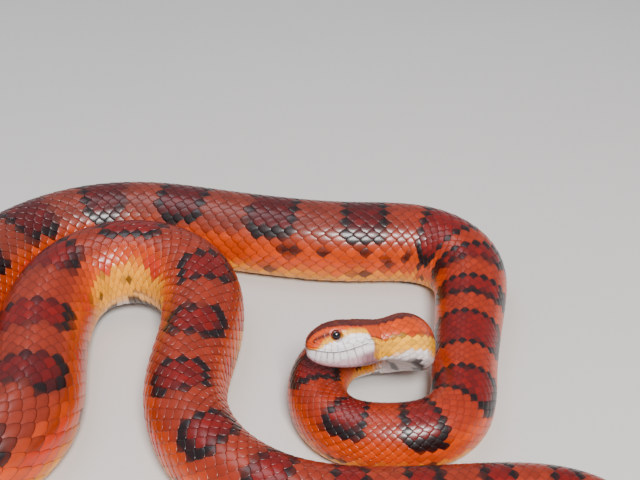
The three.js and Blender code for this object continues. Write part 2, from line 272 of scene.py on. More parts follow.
class Head:
    """The head's rows by x, and its half outline from the crown to the chin."""

    LAST = 13
    SAMPLES = 1200

    def __init__(self):
        u = np.linspace(0, len(HEAD_ROWS) - 1, self.SAMPLES)
        self.table = blend_rows(HEAD_ROWS, u)
        self.front = HEAD_ROWS[-1][0]

    def rows(self, x):
        """The eight measures of the head at x."""
        return [np.interp(x, self.table[:, 0], self.table[:, k]) for k in range(1, 9)]

    def outline(self, x, p):
        """Side and height at x and p: 0 crown, 5 cheek, 8 mouth line, 13 chin."""
        crown, brow, cheek, cheek_up, lip, mouth, jaw, chin = self.rows(x)
        rise = crown - cheek_up
        drop = mouth - chin
        zero = np.zeros_like(crown)
        sides = [
            zero, 0.55 * brow, 0.9 * brow, brow + 0.25 * (cheek - brow),
            brow + 0.72 * (cheek - brow), cheek, lip, 0.985 * lip, 0.97 * lip,
            0.96 * lip, jaw, 0.8 * jaw, 0.45 * jaw, zero,
        ]
        heights = [
            crown, crown - 0.03 * rise, crown - 0.12 * rise, crown - 0.3 * rise,
            crown - 0.62 * rise, cheek_up, mouth + 1.3, mouth + 0.45, mouth,
            mouth - 0.7, mouth - 0.42 * drop, mouth - 0.82 * drop, chin, chin,
        ]
        points = np.stack([np.stack(sides, -1), np.stack(heights, -1)], -1)
        ends = [points[..., 1:2, :] * [-1, 1], points[..., -2:-1, :] * [-1, 1]]
        points = np.concatenate([ends[0], points, ends[1]], -2)
        i = np.clip(p.astype(int), 0, self.LAST - 1)
        t = (p - i)[..., None]
        i = i[..., None, None]
        a, b, c, d = [np.take_along_axis(points, i + k, -2)[..., 0, :] for k in range(4)]
        curve = b + 0.5 * t * (c - a + t * (2 * a - 5 * b + 4 * c - d + t * (3 * (b - c) + d - a)))
        return curve[..., 0], curve[..., 1]

    def point(self, x, p):
        return np.stack([x, *self.outline(x, p)], -1)


head = Head()
head_origin = backbone.read("centre", HEAD_JOINT)
head_axes = np.stack([
    -backbone.read("tailward", HEAD_JOINT),
    backbone.read("left", HEAD_JOINT),
    backbone.read("up", HEAD_JOINT),
])


def from_head(points):
    """Places given in the head's own frame, in the frame of the whole animal."""
    return head_origin + points @ head_axes


def joint_outline(angle):
    """Side and rise of the head's rearmost section at an angle from the top."""
    p = np.linspace(0, head.LAST, 400)
    side, height = head.outline(np.zeros_like(p), p)
    polar = np.arctan2(np.abs(side), height)
    turned = np.abs((angle + np.pi) % (2 * np.pi) - np.pi)
    rise = np.interp(turned, polar, height)
    return np.interp(turned, polar, side) * np.sign(np.sin(angle)), rise


def body_outline(distance, angle):
    """Side and rise of the body's section, blended from the head's just behind the joint."""
    width = backbone.read("width", distance)
    height = backbone.read("height", distance)
    side, rise = section(width, height, angle)
    head_side, head_rise = joint_outline(angle)
    t = smoothstep(HEAD_JOINT, HEAD_JOINT + JOINT_BLEND, distance)
    return head_side + (side - head_side) * t, head_rise + (rise - head_rise) * t


def body_point(distance, label, depth):
    """A place by distance, degrees from the mid-back to the left, and depth under the surface."""
    step = 0.02
    angle = np.radians(label - backbone.read("roll", distance))
    side, rise = body_outline(distance, angle)
    side_a, rise_a = body_outline(distance, angle - step)
    side_b, rise_b = body_outline(distance, angle + step)
    along = np.hypot(side_b - side_a, rise_b - rise_a) + 1e-9
    out_side = -(rise_b - rise_a) / along
    out_rise = (side_b - side_a) / along
    side = side - depth * out_side
    rise = rise - depth * out_rise
    left = backbone.read("left", distance) * side[..., None]
    up = backbone.read("up", distance) * rise[..., None]
    return backbone.read("centre", distance) + left + up


# The lattice of scales: lengths along the body are counted in scales, q
lattice_distance = np.linspace(HEAD_JOINT, backbone.length, 6000)
lattice_width = np.maximum(backbone.read("width", lattice_distance), SCALE_LEAST_WIDTH)
lattice_share = smoothstep(*SCALE_SHARE_CHANGE, lattice_distance)
lattice_share = SCALE_PER_WIDTH_FRONT + (SCALE_PER_WIDTH - SCALE_PER_WIDTH_FRONT) * lattice_share
lattice_spacing = lattice_share * lattice_width
lattice_q = np.concatenate([[0], np.cumsum(np.diff(lattice_distance) / lattice_spacing[1:])])
last_q = lattice_q[-1]


def distance_of(q):
    """Distance along the route of a count of scales."""
    return np.interp(q, lattice_q, lattice_distance)


def count_of(distance):
    """Count of scales at a distance along the route."""
    return np.interp(distance, lattice_distance, lattice_q)


def spacing_of(distance):
    """Distance from one scale to the next along a row."""
    return np.interp(distance, lattice_distance, lattice_spacing)


def row_pitch(distance):
    """Degrees from one row of scales to the next."""
    at, counts = np.array(ROW_COUNTS).T
    return 2 * SCUTE_EDGE / np.interp(distance, at, counts)


def skin_depth(distance):
    """Depth of the skin under the outer surface that the scales reach."""
    width = backbone.read("width", distance)
    return np.minimum(SKIN_DEPTH * spacing_of(distance), SKIN_DEPTH_LIMIT * width)


NOISE_WAVES = 6


def noise(x, y, seed):
    """Smooth noise, mostly from -1 to 1 over a plane, one cycle to about a unit."""
    total = 0
    rng = np.random.default_rng(seed)
    for _ in range(NOISE_WAVES):
        turn = rng.uniform(0, 2 * np.pi)
        phase = rng.uniform(0, 2 * np.pi)
        cycles = rng.uniform(0.5, 1.6)
        total = total + np.sin(2 * np.pi * cycles * (x * np.cos(turn) + y * np.sin(turn)) + phase)
    return total / 3


def saddle_shape(distance, label):
    """How deep inside a saddle a place is: over 0 inside, 0 at its edge."""
    best = np.full(np.broadcast(distance, label).shape, OUTSIDE)
    reach = SADDLE_REACH + 26 * within(WIDE_SADDLES, distance)
    reach = reach - 14 * smoothstep(700, 780, distance) + 12 * smoothstep(860, 960, distance)
    for number, (start, end) in enumerate(SADDLES):
        middle = (start + end) / 2 + 0.4 * noise(number, 0.3, 5)
        half = (end - start) / 2
        along = np.abs(distance - middle) / half
        across = np.abs(label - 3 * noise(number, 0.7, 6)) / reach
        edge = 1 - (along**SADDLE_ROUNDNESS + across**SADDLE_ROUNDNESS) ** (1 / SADDLE_ROUNDNESS)
        best = np.maximum(best, edge * half)
    return best


def blotch_shape(distance, label, angle, length_share, height, under_saddles=False):
    """The same for blotches down each side, that lie under the gaps or under the saddles."""
    best = np.full(np.broadcast(distance, label).shape, OUTSIDE)
    for number in range(len(SADDLES) - 1):
        start, end = SADDLES[number]
        gap = SADDLES[number + 1][0] - end
        middle = (start + end) / 2 if under_saddles else end + gap / 2
        half = max(BLOTCH_LEAST, length_share * gap)
        along = np.abs(distance - middle - noise(number, 0.2, 8)) / half
        across = np.abs(np.abs(label) - angle - 2 * noise(number, 0.5, 9)) / height
        best = np.maximum(best, (1 - np.hypot(along, across)) * half)
    return best


def neck_colour(distance, side, drift, small):
    """Stripes of the neck, which run on from the head."""
    line = np.exp(-(((side - 68 - 2 * drift) / 3) ** 2))
    line = line + 0.7 * np.exp(-(((side - 94 - 2 * drift) / 2.4) ** 2)) * (drift > -0.3)
    white_from = 134 - 26 * smoothstep(10, 17, distance)
    return paint(
        CROWN_BROWN,
        (SADDLE_MAROON, 0.4 + 0.3 * drift),
        (FLANK_ORANGE, smoothstep(27, 33, side + 2 * small)),
        (LOW_YELLOW, smoothstep(70, 76, side + 3 * drift)),
        (BORDER_BLACK, 0.75 * np.clip(line, 0, 1)),
        (BELLY_WHITE, smoothstep(white_from - 4, white_from + 4, side + 4 * drift)),
    )


def body_colour(distance, label):
    """The markings of the body by distance and degrees from the mid-back line."""
    distance, label = np.broadcast_arrays(distance, label)
    side = np.abs(label)
    drift = noise(distance / 9, label / 25, 11)
    small = noise(distance / 3.2, label / 9, 12)
    brown = smoothstep(262, 300, distance) * (1 - 0.6 * smoothstep(600, 700, distance))
    ground = paint(
        GROUND_ORANGE,
        (GROUND_BROWN, brown),
        (FLANK_ORANGE, smoothstep(40, 78, side + 5 * drift)),
        (LOW_YELLOW, 0.7 * smoothstep(94, 122, side + 6 * drift)),
        (LOW_YELLOW, 0.8 * within(BRIGHT_FLANKS, distance) * smoothstep(72, 92, side + 6 * drift)),
    )

    # Side blotches between the saddles, and small dark ticks below each saddle
    blotch = blotch_shape(distance, label, 78, 0.4, 13) + 0.5 * small
    rear = smoothstep(425, 470, distance)
    ground = paint(
        ground,
        (BORDER_BLACK, 0.6 * rear * smoothstep(-0.9, -0.2, blotch) * (drift > -0.1)),
        (BLOTCH_RED, rear * smoothstep(0.1, 0.9, blotch)),
    )
    for middle, angle, half, height in FLANK_MARKS:
        mark = np.hypot((distance - middle) / half, (label - angle) / height) + 0.15 * small
        ground = mix(ground, BORDER_BLACK, 0.9 * (1 - smoothstep(0.8, 1.15, mark)))
    tick = blotch_shape(distance, label, 106, 0.22, 7, under_saddles=True) + 0.5 * small

    # Saddles with their dark borders, and the stripes of the neck over all
    saddle = saddle_shape(distance, label) + 0.35 * small
    crimson = 1 - within(DULL_SADDLES, distance)
    red = mix(SADDLE_MAROON, SADDLE_RED, np.clip(0.15 + 0.7 * crimson + 0.25 * drift, 0, 1))
    return paint(
        ground,
        (BORDER_BLACK, 0.8 * smoothstep(-0.3, 0.5, tick)),
        (BORDER_BLACK, smoothstep(-0.8, -0.1, saddle)),
        (red, smoothstep(1.5, 2.5, saddle)),
        (neck_colour(distance, side, drift, small), 1 - smoothstep(*NECK_STRIPES, distance)),
    )


def belly_colour(distance, label, scute):
    """The white belly with dark checks, by scute number and degrees from the mid-back."""
    off_middle = (label % 360) - 180
    outer = smoothstep(28, 46, np.abs(off_middle)) * smoothstep(60, 120, distance)
    white = mix(BELLY_WHITE, LOW_YELLOW, 0.85 * outer)
    pair = np.floor(scute / 2)
    place = 3 * noise(pair, 0.37, 21)
    turn = np.sign(np.sin(pair * 2.4))
    checks = np.abs(off_middle - 26 * turn - 5 * place) < 13
    checks = checks | ((np.abs(off_middle + 34 * turn) < 9) & (place > 0.2))
    under_tail = smoothstep(VENT, VENT + 10, distance)
    dark = checks * (1 - 0.55 * (under_tail > 0.5)) * smoothstep(14, 22, distance)
    return mix(white, BORDER_BLACK, 0.88 * dark)


# Unwrap of the skin: the body in three strips, the head larger above them
STRIPS = 3
STRIP_LENGTH = (backbone.length - HEAD_JOINT) / STRIPS
STRIP_PITCH = 0.262
UNWRAP = 1 / 440
UNWRAP_MARGIN = 0.01
HEAD_UNWRAP = 1.6 * UNWRAP
HEAD_UNWRAP_MIDDLE = 0.89
HEAD_GIRTH = 52
GIRTH_PER_SIZE = 3.05


def around_length(distance):
    """Length of the skin round the body."""
    width = backbone.read("width", distance)
    height = backbone.read("height", distance)
    return GIRTH_PER_SIZE * (width + height) / 2


def unwrap(distance, label, strip):
    """Place on the unwrap of a place on the body."""
    u = UNWRAP_MARGIN + (distance - HEAD_JOINT - strip * STRIP_LENGTH) * UNWRAP
    v = STRIP_PITCH * (strip + 0.5) + label / 360 * around_length(distance) * UNWRAP
    return np.stack([u, v], -1)


def strip_of(distance):
    """The strip of the unwrap that a distance falls in."""
    return np.clip(np.floor((distance - HEAD_JOINT) / STRIP_LENGTH), 0, STRIPS - 1)


def make_mesh(name, points, polygons, colours, uvs):
    """A mesh from arrays: points, polygons, a colour for each point, an unwrap for each corner."""
    mesh = bpy.data.meshes.new(name)
    corners = np.concatenate([p.ravel() for p in polygons]).astype(np.int32)
    totals = np.concatenate([np.full(len(p), p.shape[1]) for p in polygons])
    starts = np.concatenate([[0], np.cumsum(totals)[:-1]]).astype(np.int32)
    mesh.vertices.add(len(points))
    mesh.vertices.foreach_set("co", (points * MM).astype(np.float32).ravel())
    mesh.loops.add(len(corners))
    mesh.loops.foreach_set("vertex_index", corners)
    mesh.polygons.add(len(totals))
    mesh.polygons.foreach_set("loop_start", starts)
    mesh.polygons.foreach_set("use_smooth", np.ones(len(totals), bool))
    mesh.update(calc_edges=True)
    layer = mesh.uv_layers.new(name="OFBake")
    layer.uv.foreach_set("vector", uvs.astype(np.float32).ravel())
    attribute = mesh.color_attributes.new("Markings", "FLOAT_COLOR", "POINT")
    rgba = np.concatenate([colours, np.ones((len(colours), 1))], -1)
    attribute.data.foreach_set("color", rgba.astype(np.float32).ravel())
    mesh.validate()
    piece = bpy.data.objects.new(name, mesh)
    bpy.context.scene.collection.objects.link(piece)
    return piece


# Crown shields by x, side and size: internasal, prefrontal, frontal, supraocular, parietal
CROWN_SHIELDS = [
    (24.3, 1.2, 1.0), (21.9, 1.9, 1.5), (17.0, 0, 1.6), (15.0, 0, 1.4), (16.6, 4.4, 1.2),
    (10.4, 2.6, 2.6), (11.6, 5.0, 0.9),
]

# Side shields by x, p and size, from the nasal past the eye to the cheek, then the chin's
SIDE_SHIELDS = [
    (24.2, 4.1, 0.7), (21.6, 4.3, 0.7), (19.0, 4.1, 0.5), (16.0, 4.4, 1.9), (13.1, 3.7, 0.4),
    (13.3, 4.9, 0.4), (10.6, 4.0, 0.7), (10.6, 5.2, 0.6), (7.7, 4.1, 0.6), (7.6, 5.2, 0.6),
    (5.1, 4.3, 0.4), (5.1, 5.3, 0.4), (21.2, 12.2, 1.5), (16.8, 12.2, 1.4),
]
UPPER_LABIALS = [25.4, 23.7, 21.7, 19.5, 17.3, 15.0, 12.2, 8.9, 5.6]
UPPER_LABIAL_P = 6.4
LOWER_LABIALS = [24.6, 22.9, 21.0, 18.9, 16.7, 14.2, 11.5, 8.6, 5.9]
LOWER_LABIAL_P = 9.4
ROSTRAL = (26.4, 0, 2.4, 0.9)
MENTAL = (25.8, 0, -1.6, 0.6)
SMALL_SCALE_STEP = 1.75
SMALL_SCALE_SIZE = 0.2


def seed_at(x, p, size):
    """A shield's middle on the head's surface, with its size."""
    return *head.point(np.array([x]), np.array([p]))[0], size


def shield_seeds():
    """A point at the middle of each head shield, mirrored to the right side."""
    seeds = []
    for x, side, size in CROWN_SHIELDS:
        p = np.linspace(0, 4, 60)
        reach, height = head.outline(np.full_like(p, x), p)
        nearest = np.argmin(np.abs(reach - side))
        seeds.append((x, reach[nearest], height[nearest], size))
    seeds += [seed_at(*shield) for shield in SIDE_SHIELDS]
    seeds += [seed_at(x, UPPER_LABIAL_P, 0.8) for x in UPPER_LABIALS]
    seeds += [seed_at(x, LOWER_LABIAL_P, 0.9) for x in LOWER_LABIALS]
    seeds += [ROSTRAL, MENTAL]

    # Small scales behind the crown shields and along the throat
    for k in range(8):
        for j in range(8):
            x = 0.2 + SMALL_SCALE_STEP * k + 0.9 * (j % 2)
            if x < 6.8:
                seeds.append(seed_at(x, 0.62 * j, SMALL_SCALE_SIZE))
            if j < 4:
                seeds.append(seed_at(x, 13 - 0.85 * j, SMALL_SCALE_SIZE))
    seeds = np.array(seeds)
    return np.concatenate([seeds, seeds[seeds[:, 1] > 0.4] * [1, -1, 1, 1]])


# Relief of the head's skin
SEAM_WIDTH = 0.26
SEAM_DEPTH = 0.17
JAW_FOLD_DEPTH = 0.4
MOUTH_DEPTH = 0.5
NOSTRIL_RADIUS = 0.42
NOSTRIL_DEPTH = 0.55
EYE_RIM_HEIGHT = 0.16
SOCKET_DEPTH = 0.16


def head_surface(x, p):
    """Points and colours of the head's left half with its shields and folds."""
    plain = head.point(x, p)
    side, height = plain[..., 1], plain[..., 2]
    forward = head.point(x + 0.04, p) - head.point(x - 0.04, p)
    above, below = np.clip(p - 0.05, 0, head.LAST), np.clip(p + 0.05, 0, head.LAST)
    normal = np.cross(head.point(x, below) - head.point(x, above), forward)
    normal = normal / (np.linalg.norm(normal, axis=-1)[..., None] + 1e-9)

    # Grooves between the shields
    seeds = shield_seeds()
    stretch = np.array([0.85, 1, 1])
    away = np.linalg.norm((plain[..., None, :] - seeds[:, :3]) * stretch, axis=-1) - seeds[:, 3]
    nearest = np.sort(np.partition(away, 1, axis=-1)[..., :2], -1)
    seam = np.exp(-(((nearest[..., 1] - nearest[..., 0]) / SEAM_WIDTH) ** 2))
    seam = seam * (1 - smoothstep(head.front - 0.5, head.front, x))
    relief = 0.05 - SEAM_DEPTH * seam

    # Mouth line, nostril, and the rim round the eye
    open_mouth = smoothstep(MOUTH_CORNER - 0.6, MOUTH_CORNER + 1, x)
    jaw_fold = np.exp(-(((x - 1.9) / 0.7) ** 2)) * smoothstep(5, 7, p) * (1 - smoothstep(11, 12, p))
    relief = relief - JAW_FOLD_DEPTH * jaw_fold
    mouth = np.exp(-(((p - 8) / 0.32) ** 2)) * open_mouth
    relief = relief - MOUTH_DEPTH * mouth
    relief = relief + 0.1 * np.exp(-(((p - 7.2) / 0.5) ** 2)) * open_mouth
    from_nostril = np.hypot(x - NOSTRIL_X, height - NOSTRIL_HEIGHT)
    nostril = np.exp(-((from_nostril / NOSTRIL_RADIUS) ** 2)) * (side > 1.5)
    relief = relief - NOSTRIL_DEPTH * nostril
    from_eye = np.hypot(x - EYE_CENTRE[0], height - EYE_CENTRE[2])
    beside_eye = (side > 3.5) & (p > 1.5)
    relief = np.where(beside_eye, relief * smoothstep(1.6, 2.4, from_eye), relief)
    relief = relief + EYE_RIM_HEIGHT * np.exp(-(((from_eye - 2.2) / 0.3) ** 2)) * beside_eye
    points = plain + normal * relief[..., None]
    ball = EYE_CENTRE[1] + np.sqrt(np.maximum(EYE_RADIUS**2 - from_eye**2, 0)) - SOCKET_DEPTH
    sunk = np.minimum(points[..., 1], ball)
    keep = smoothstep(1.72, 2.0, from_eye)
    points[..., 1] = np.where(beside_eye, sunk + (points[..., 1] - sunk) * keep, points[..., 1])

    return points, head_colour(x, p, seam, mouth, nostril, from_eye, beside_eye)


# Where the head's colours meet, by x: the crown's edge, the top of the white, its foot where the
# chin's painted shade begins
HEAD_EDGES = [
    (0, 2.0, 5.0, 9.5), (3, 2.2, 4.8, 9.5), (5.5, 2.4, 4.1, 9.7), (7.9, 2.1, 3.9, 9.8),
    (11, 1.9, 3.9, 9.9), (13.2, 1.8, 4.25, 10), (16.5, 1.6, 4.9, 10.1), (18.4, 1.3, 5.0, 10.2),
    (20.6, 1.2, 5.3, 10.3), (22.5, 1.1, 6.6, 10.4), (24.1, 1.0, 8.3, 10.5), (27, 1.0, 9.2, 10.5),
]


def head_colour(x, p, seam, mouth, nostril, from_eye, beside_eye):
    """The markings of the head by x and p, with painted shade under the jaw and in its folds and
    hollows.
    """
    drift = noise(x / 4, p / 3, 31)
    fine = noise(x / 1.3, p / 1.1, 32)
    crown = paint(
        CROWN_BROWN,
        (SADDLE_MAROON, 0.5 + 0.4 * drift),
        (GROUND_BROWN, 0.35 * smoothstep(0.2, 1, fine)),
    )
    edge_x, *edges = np.array(HEAD_EDGES).T
    crown_to, white_from, white_to = [np.interp(x, edge_x, edge) for edge in edges]

    # Bar from the nostril to the eye, and yellow along the edge of the white lips
    bar_line = 3.5 + 0.06 * (x - 20)
    bar = np.exp(-(((p - bar_line) / 0.46) ** 2)) * smoothstep(17.5, 19, x) * smoothstep(25, 23.5, x)
    flank = paint(
        SNOUT_ORANGE,
        (FLANK_ORANGE, smoothstep(0, 1, drift)),
        (CROWN_BROWN * 0.6, bar),
        (LIP_YELLOW, 0.95 * smoothstep(1.5, 0.5, white_from - p) * (1 - bar)),
    )

    # Crown, flank and lips, then the chin in painted shade and a painted shadow under the jaw
    throat_shade = smoothstep(11, 5, x) * smoothstep(9.5, 10.3, p) * (1 - smoothstep(11.2, 12.2, p))
    colour = paint(
        crown,
        (flank, smoothstep(-0.25, 0.3, p - crown_to + 0.15 * fine)),
        (LABIAL_WHITE, smoothstep(-0.15, 0.25, p - white_from + 0.12 * fine)),
        # painted shade on the underside of the jaw
        (CHIN_SHADE_MAUVE, smoothstep(-0.2, 0.5, p - white_to + 0.1 * fine)),
        # painted shadow under the jaw
        (JAW_SHADE_BROWN, 0.7 * throat_shade),
    )

    # Stripes of the neck behind the jaw, then painted shade in the fold behind the jaw, the seams,
    # and painted shade in the mouth line, the nostril and the crease round the eye
    joint_side, joint_height = head.outline(0 * x, p)
    label = np.degrees(np.arctan2(np.abs(joint_side), joint_height))
    neck = body_colour(HEAD_JOINT + 0 * x, label)
    neck_from = 2.9 + 0.5 * np.abs(p - 7.5) * (p < 7.5) - 2.5 * smoothstep(10.2, 11.5, p)
    jaw_fold_shade = np.exp(-(((x - neck_from + 0.5) / 0.6) ** 2)) * smoothstep(6.5, 9, p)
    dark_seam = seam * (p > 8.1) * (p < 9.8) * (np.sin(x * 1.9) > -0.2) * (x > 8)
    eye_crease_shade = np.exp(-(((from_eye - 1.95) / 0.3) ** 2)) * beside_eye
    colour = paint(
        neck,
        (colour, smoothstep(-0.35, 0.35, x - neck_from + 0.15 * fine)),
        # painted shade in the fold where the jaw meets the neck
        (JAW_SHADE_BROWN, 0.6 * jaw_fold_shade * (1 - smoothstep(11, 12, p))),
        (SEAM_GREY * 0.7, seam * (0.3 + 0.3 * (p > 5) - 0.25 * (p > 10))),
        (BORDER_BLACK, 0.75 * dark_seam),
        # painted shade in the groove of the mouth line
        (SEAM_GREY * 0.35, 0.9 * mouth),
        # painted shade in the nostril's hollow
        (BORDER_BLACK, 0.9 * nostril),
        # painted shade in the crease where the skin meets the eye
        (CROWN_BROWN * 0.7, 0.8 * eye_crease_shade),
    )
    return colour * (1 + 0.06 * fine)[..., None]


# Rings of the skin: columns in half a head ring, then the rings' places and steps
HEAD_HALF = 72
HEAD_LAST_RING = 0.1
HEAD_RING_STEP = 0.25
SNOUT_RINGS = 18
SNOUT_LENGTH = 1.6
SNOUT_CAP = 0.2
NECK_FIRST_RING = 0.3
NECK_RING_STEP = 0.8
LABELS_SETTLED = 40
TRANSITION = 60.0
BODY_RING_STEP = 2.4
TIP_LENGTH = 2
TIP_RINGS = 5
# Painted shade: the skin in the gaps between the scales, and between the belly scutes, is darkened
SKIN_SHADE = 0.5
BELLY_SHADE = 0.6


def head_columns():
    """How the columns of the head's rings are spread: close together at the mouth."""
    return np.concatenate([
        np.linspace(0, 5, 29)[:-1], np.linspace(5, 7.4, 13)[:-1],
        np.linspace(7.4, 8.6, 10)[:-1], np.linspace(8.6, head.LAST, HEAD_HALF - 48),
    ])


def joined_half(left, right):
    """Whole rings in rows of three numbers, from the left halves and the right halves."""
    return np.concatenate([left, right[..., -2:0:-1, :]], -2).reshape(-1, 3)


def body_rings(distances, labels):
    """Points and colours of the skin's rings behind the head."""
    distance = np.repeat(distances[:, None], labels.shape[1], 1)
    depth = skin_depth(distance) * smoothstep(HEAD_JOINT - 0.5, HEAD_JOINT + 1.5, distance)
    points = body_point(distance, labels, depth)
    label = (labels + 180) % 360 - 180
    # The skin between the scales and scutes is darkened as painted shade
    back = body_colour(distance, label) * SKIN_SHADE
    belly = belly_colour(distance, labels, np.floor(count_of(distance))) * BELLY_SHADE
    colour = mix(back, belly, smoothstep(SCUTE_EDGE - 3, SCUTE_EDGE + 1, np.abs(label)))
    return points.reshape(-1, 3), colour.reshape(-1, 3)


def ring_quads(rings, count, start):
    """Quads between closed rings of points, and the ring and column at each one's corners."""
    ring, column = np.meshgrid(np.arange(rings - 1), np.arange(count), indexing="ij")
    ring, column = ring.ravel(), column.ravel()
    here, after = start + ring * count, (column + 1) % count
    quads = np.stack([here + column, here + after, here + count + after, here + count + column], -1)
    corners = [(ring, column), (ring, column + 1), (ring + 1, column + 1), (ring + 1, column)]
    return quads, corners


def make_skin():
    """One closed skin from the snout to the tail tip."""
    columns = head_columns()
    count = 2 * (len(columns) - 1)
    half = count // 2
    blunt = head.front - SNOUT_LENGTH * (1 - np.cos(np.linspace(0, np.pi / 2, SNOUT_RINGS)))
    behind = np.arange(blunt[-1] - HEAD_RING_STEP, HEAD_LAST_RING, -HEAD_RING_STEP)
    xs = np.concatenate([blunt, behind])
    grid_x = np.repeat(xs[:, None], len(columns), 1)
    grid_p = np.repeat(columns[None], len(xs), 0)
    left, left_colour = head_surface(grid_x, grid_p)
    head_points = from_head(joined_half(left, left * [1, -1, 1]))

    # Labels of the columns where the head meets the neck, and where the neck has settled
    side, height = head.outline(np.zeros_like(columns), columns)
    half_labels = np.degrees(np.arctan2(np.abs(side), height))
    joint_labels = np.concatenate([half_labels, 360 - half_labels[-2:0:-1]])
    even_labels = np.arange(count) * 360 / count

    near = np.arange(HEAD_JOINT + NECK_FIRST_RING, TRANSITION, NECK_RING_STEP)
    tip_from = backbone.length - TIP_LENGTH
    far = np.arange(TRANSITION, tip_from, BODY_RING_STEP)
    far = np.concatenate([far, np.linspace(tip_from, backbone.length, TIP_RINGS)])
    settled = smoothstep(HEAD_JOINT, LABELS_SETTLED, near)[:, None]
    near_labels = joint_labels * (1 - settled) + even_labels * settled
    far_labels = np.repeat(even_labels[None, ::2], len(far), 0)
    near_points, near_colour = body_rings(near, near_labels)
    far_points, far_colour = body_rings(far, far_labels)
    points = np.concatenate([head_points, near_points, far_points])
    colour = np.concatenate([joined_half(left_colour, left_colour), near_colour, far_colour])
    wide_labels = np.concatenate([near_labels, np.full((len(near), 1), 360)], 1)

    def wide_uv(ring, column, strip_ring, strip_column):
        """Place on the unwrap of a corner whose face begins at the strip's ring and column."""
        right_side = strip_column >= half
        x = xs[np.minimum(ring, len(xs) - 1)]
        x = np.where(ring < len(xs), x, 0)
        u = UNWRAP_MARGIN + (head.front - x) * HEAD_UNWRAP
        v = HEAD_UNWRAP_MIDDLE + (column / count - right_side) * HEAD_GIRTH * HEAD_UNWRAP
        neck_ring = np.clip(ring - len(xs), 0, len(near) - 1)
        label = wide_labels[neck_ring, column] - 360 * right_side
        on_head = (strip_ring < len(xs))[..., None]
        return np.where(on_head, np.stack([u, v], -1), unwrap(near[neck_ring], label, 0))

    # Faces: wide rings first, one step down to half the columns, then the caps
    quads, corners = ring_quads(len(xs) + len(near), count, 0)
    polygons = [quads]
    corner_uvs = [np.stack([wide_uv(*at, *corners[0]) for at in corners], 1)]
    far_start = (len(xs) + len(near)) * count
    pair = np.arange(half)
    a = far_start - count + 2 * pair
    b, c = a + 1, far_start - count + (2 * pair + 2) % count
    d, e = far_start + pair, far_start + (pair + 1) % half
    step_down = [np.stack(corner, -1) for corner in ((a, b, d), (b, e, d), (b, c, e))]
    polygons.append(np.concatenate(step_down))
    label = pair * 360 / half - 360 * (pair >= half // 2)
    spot = unwrap(np.full(half, TRANSITION), label, 0)
    corner_uvs.append(np.repeat(np.concatenate([spot] * 3), 3, 0))
    quads, corners = ring_quads(len(far), half, far_start)
    polygons.append(quads)
    ring, column = corners[0]
    strip = strip_of(far[ring])
    right_side = 360 * (column >= half // 2)
    at_corners = [unwrap(far[r], k * 360 / half - right_side, strip) for r, k in corners]
    corner_uvs.append(np.stack(at_corners, 1))

    # Caps at the snout and at the tail tip
    snout = len(points)
    tip = snout + 1
    ends = np.stack([points[:count].mean(0) + head_axes[0] * SNOUT_CAP, points[-half:].mean(0)])
    points = np.concatenate([points, ends])
    colour = np.concatenate([colour, colour[:1], colour[-1:]])
    column = np.arange(count)
    polygons.append(np.stack([np.full(count, snout), (column + 1) % count, column], -1))
    first_ring = np.zeros(count, int)
    spot = wide_uv(first_ring, column, first_ring, column)
    corner_uvs.append(np.repeat(spot, 3, 0))
    last = far_start + (len(far) - 1) * half
    polygons.append(np.stack([np.full(half, tip), last + pair, last + (pair + 1) % half], -1))
    spot = unwrap(np.full(half, backbone.length), label, STRIPS - 1)
    corner_uvs.append(np.repeat(spot, 3, 0))
    uvs = np.concatenate([uv.reshape(-1, 2) for uv in corner_uvs])
    return make_mesh("snake_skin", points, polygons, colour, uvs)


# One scale: its corners, its size in lattice units, and how it tilts
SCALE_SIDES = 14
SCALE_HALF_LENGTH = 0.59
SCALE_HALF_WIDTH = 0.93
SCALE_ROUNDNESS = 1.3
SCALE_MIDDLE_DEPTH = 0.52
SCALE_TILT = 0.42

# Its rings: share of length, share of width, shift, share of the tilt, depth, and painted shade,
# darkest at the hidden base and the edge and a faint painted highlight at the middle
SCALE_RINGS = [
    (1, 1, 0, 0, 1.25, 0.45), (1, 1, 0, 1, 0.1, 0.62), (0.88, 0.86, 0, 1, -0.1, 0.95),
    (0.5, 0.45, 0.03, 0.5, 0.02, 1.06),
]
SCALE_HUB = (0.03, 0, 0.12, 1.08)
SCALE_PATCH = (0.0024, 0.0016)
SCALE_TINT = 0.16
ROOT_COLOUR = 0.8
OUTER_ROW = 15


def scale_form():
    """One scale: places along and across, share of the skin's depth and painted shade, and
    triangles.
    """
    turn = np.arange(SCALE_SIDES) * 2 * np.pi / SCALE_SIDES
    along = np.sign(np.cos(turn)) * np.abs(np.cos(turn)) ** SCALE_ROUNDNESS * SCALE_HALF_LENGTH
    across = np.sign(np.sin(turn)) * np.abs(np.sin(turn)) ** SCALE_ROUNDNESS * SCALE_HALF_WIDTH
    tilt = SCALE_MIDDLE_DEPTH - SCALE_TILT * along / SCALE_HALF_LENGTH
    points = []
    for length, width, shift, tilt_share, depth, shade in SCALE_RINGS:
        rows = [length * along + shift, width * across, tilt_share * tilt + depth]
        points.append(np.stack([*rows, np.full(SCALE_SIDES, shade)], -1))
    points.append(np.array([SCALE_HUB]))
    last = len(SCALE_RINGS) - 1
    hub = len(SCALE_RINGS) * SCALE_SIDES
    sides = [(i, (i + 1) % SCALE_SIDES) for i in range(SCALE_SIDES)]
    faces = []
    for base in range(0, last * SCALE_SIDES, SCALE_SIDES):
        for i, k in sides:
            a, b, c, d = base + i, base + k, base + i + SCALE_SIDES, base + k + SCALE_SIDES
            faces += [(a, b, d), (a, d, c)]
    faces += [(last * SCALE_SIDES + i, last * SCALE_SIDES + k, hub) for i, k in sides]
    faces += [(0, i + 1, i) for i in range(1, SCALE_SIDES - 1)]
    return np.concatenate(points), np.array(faces)


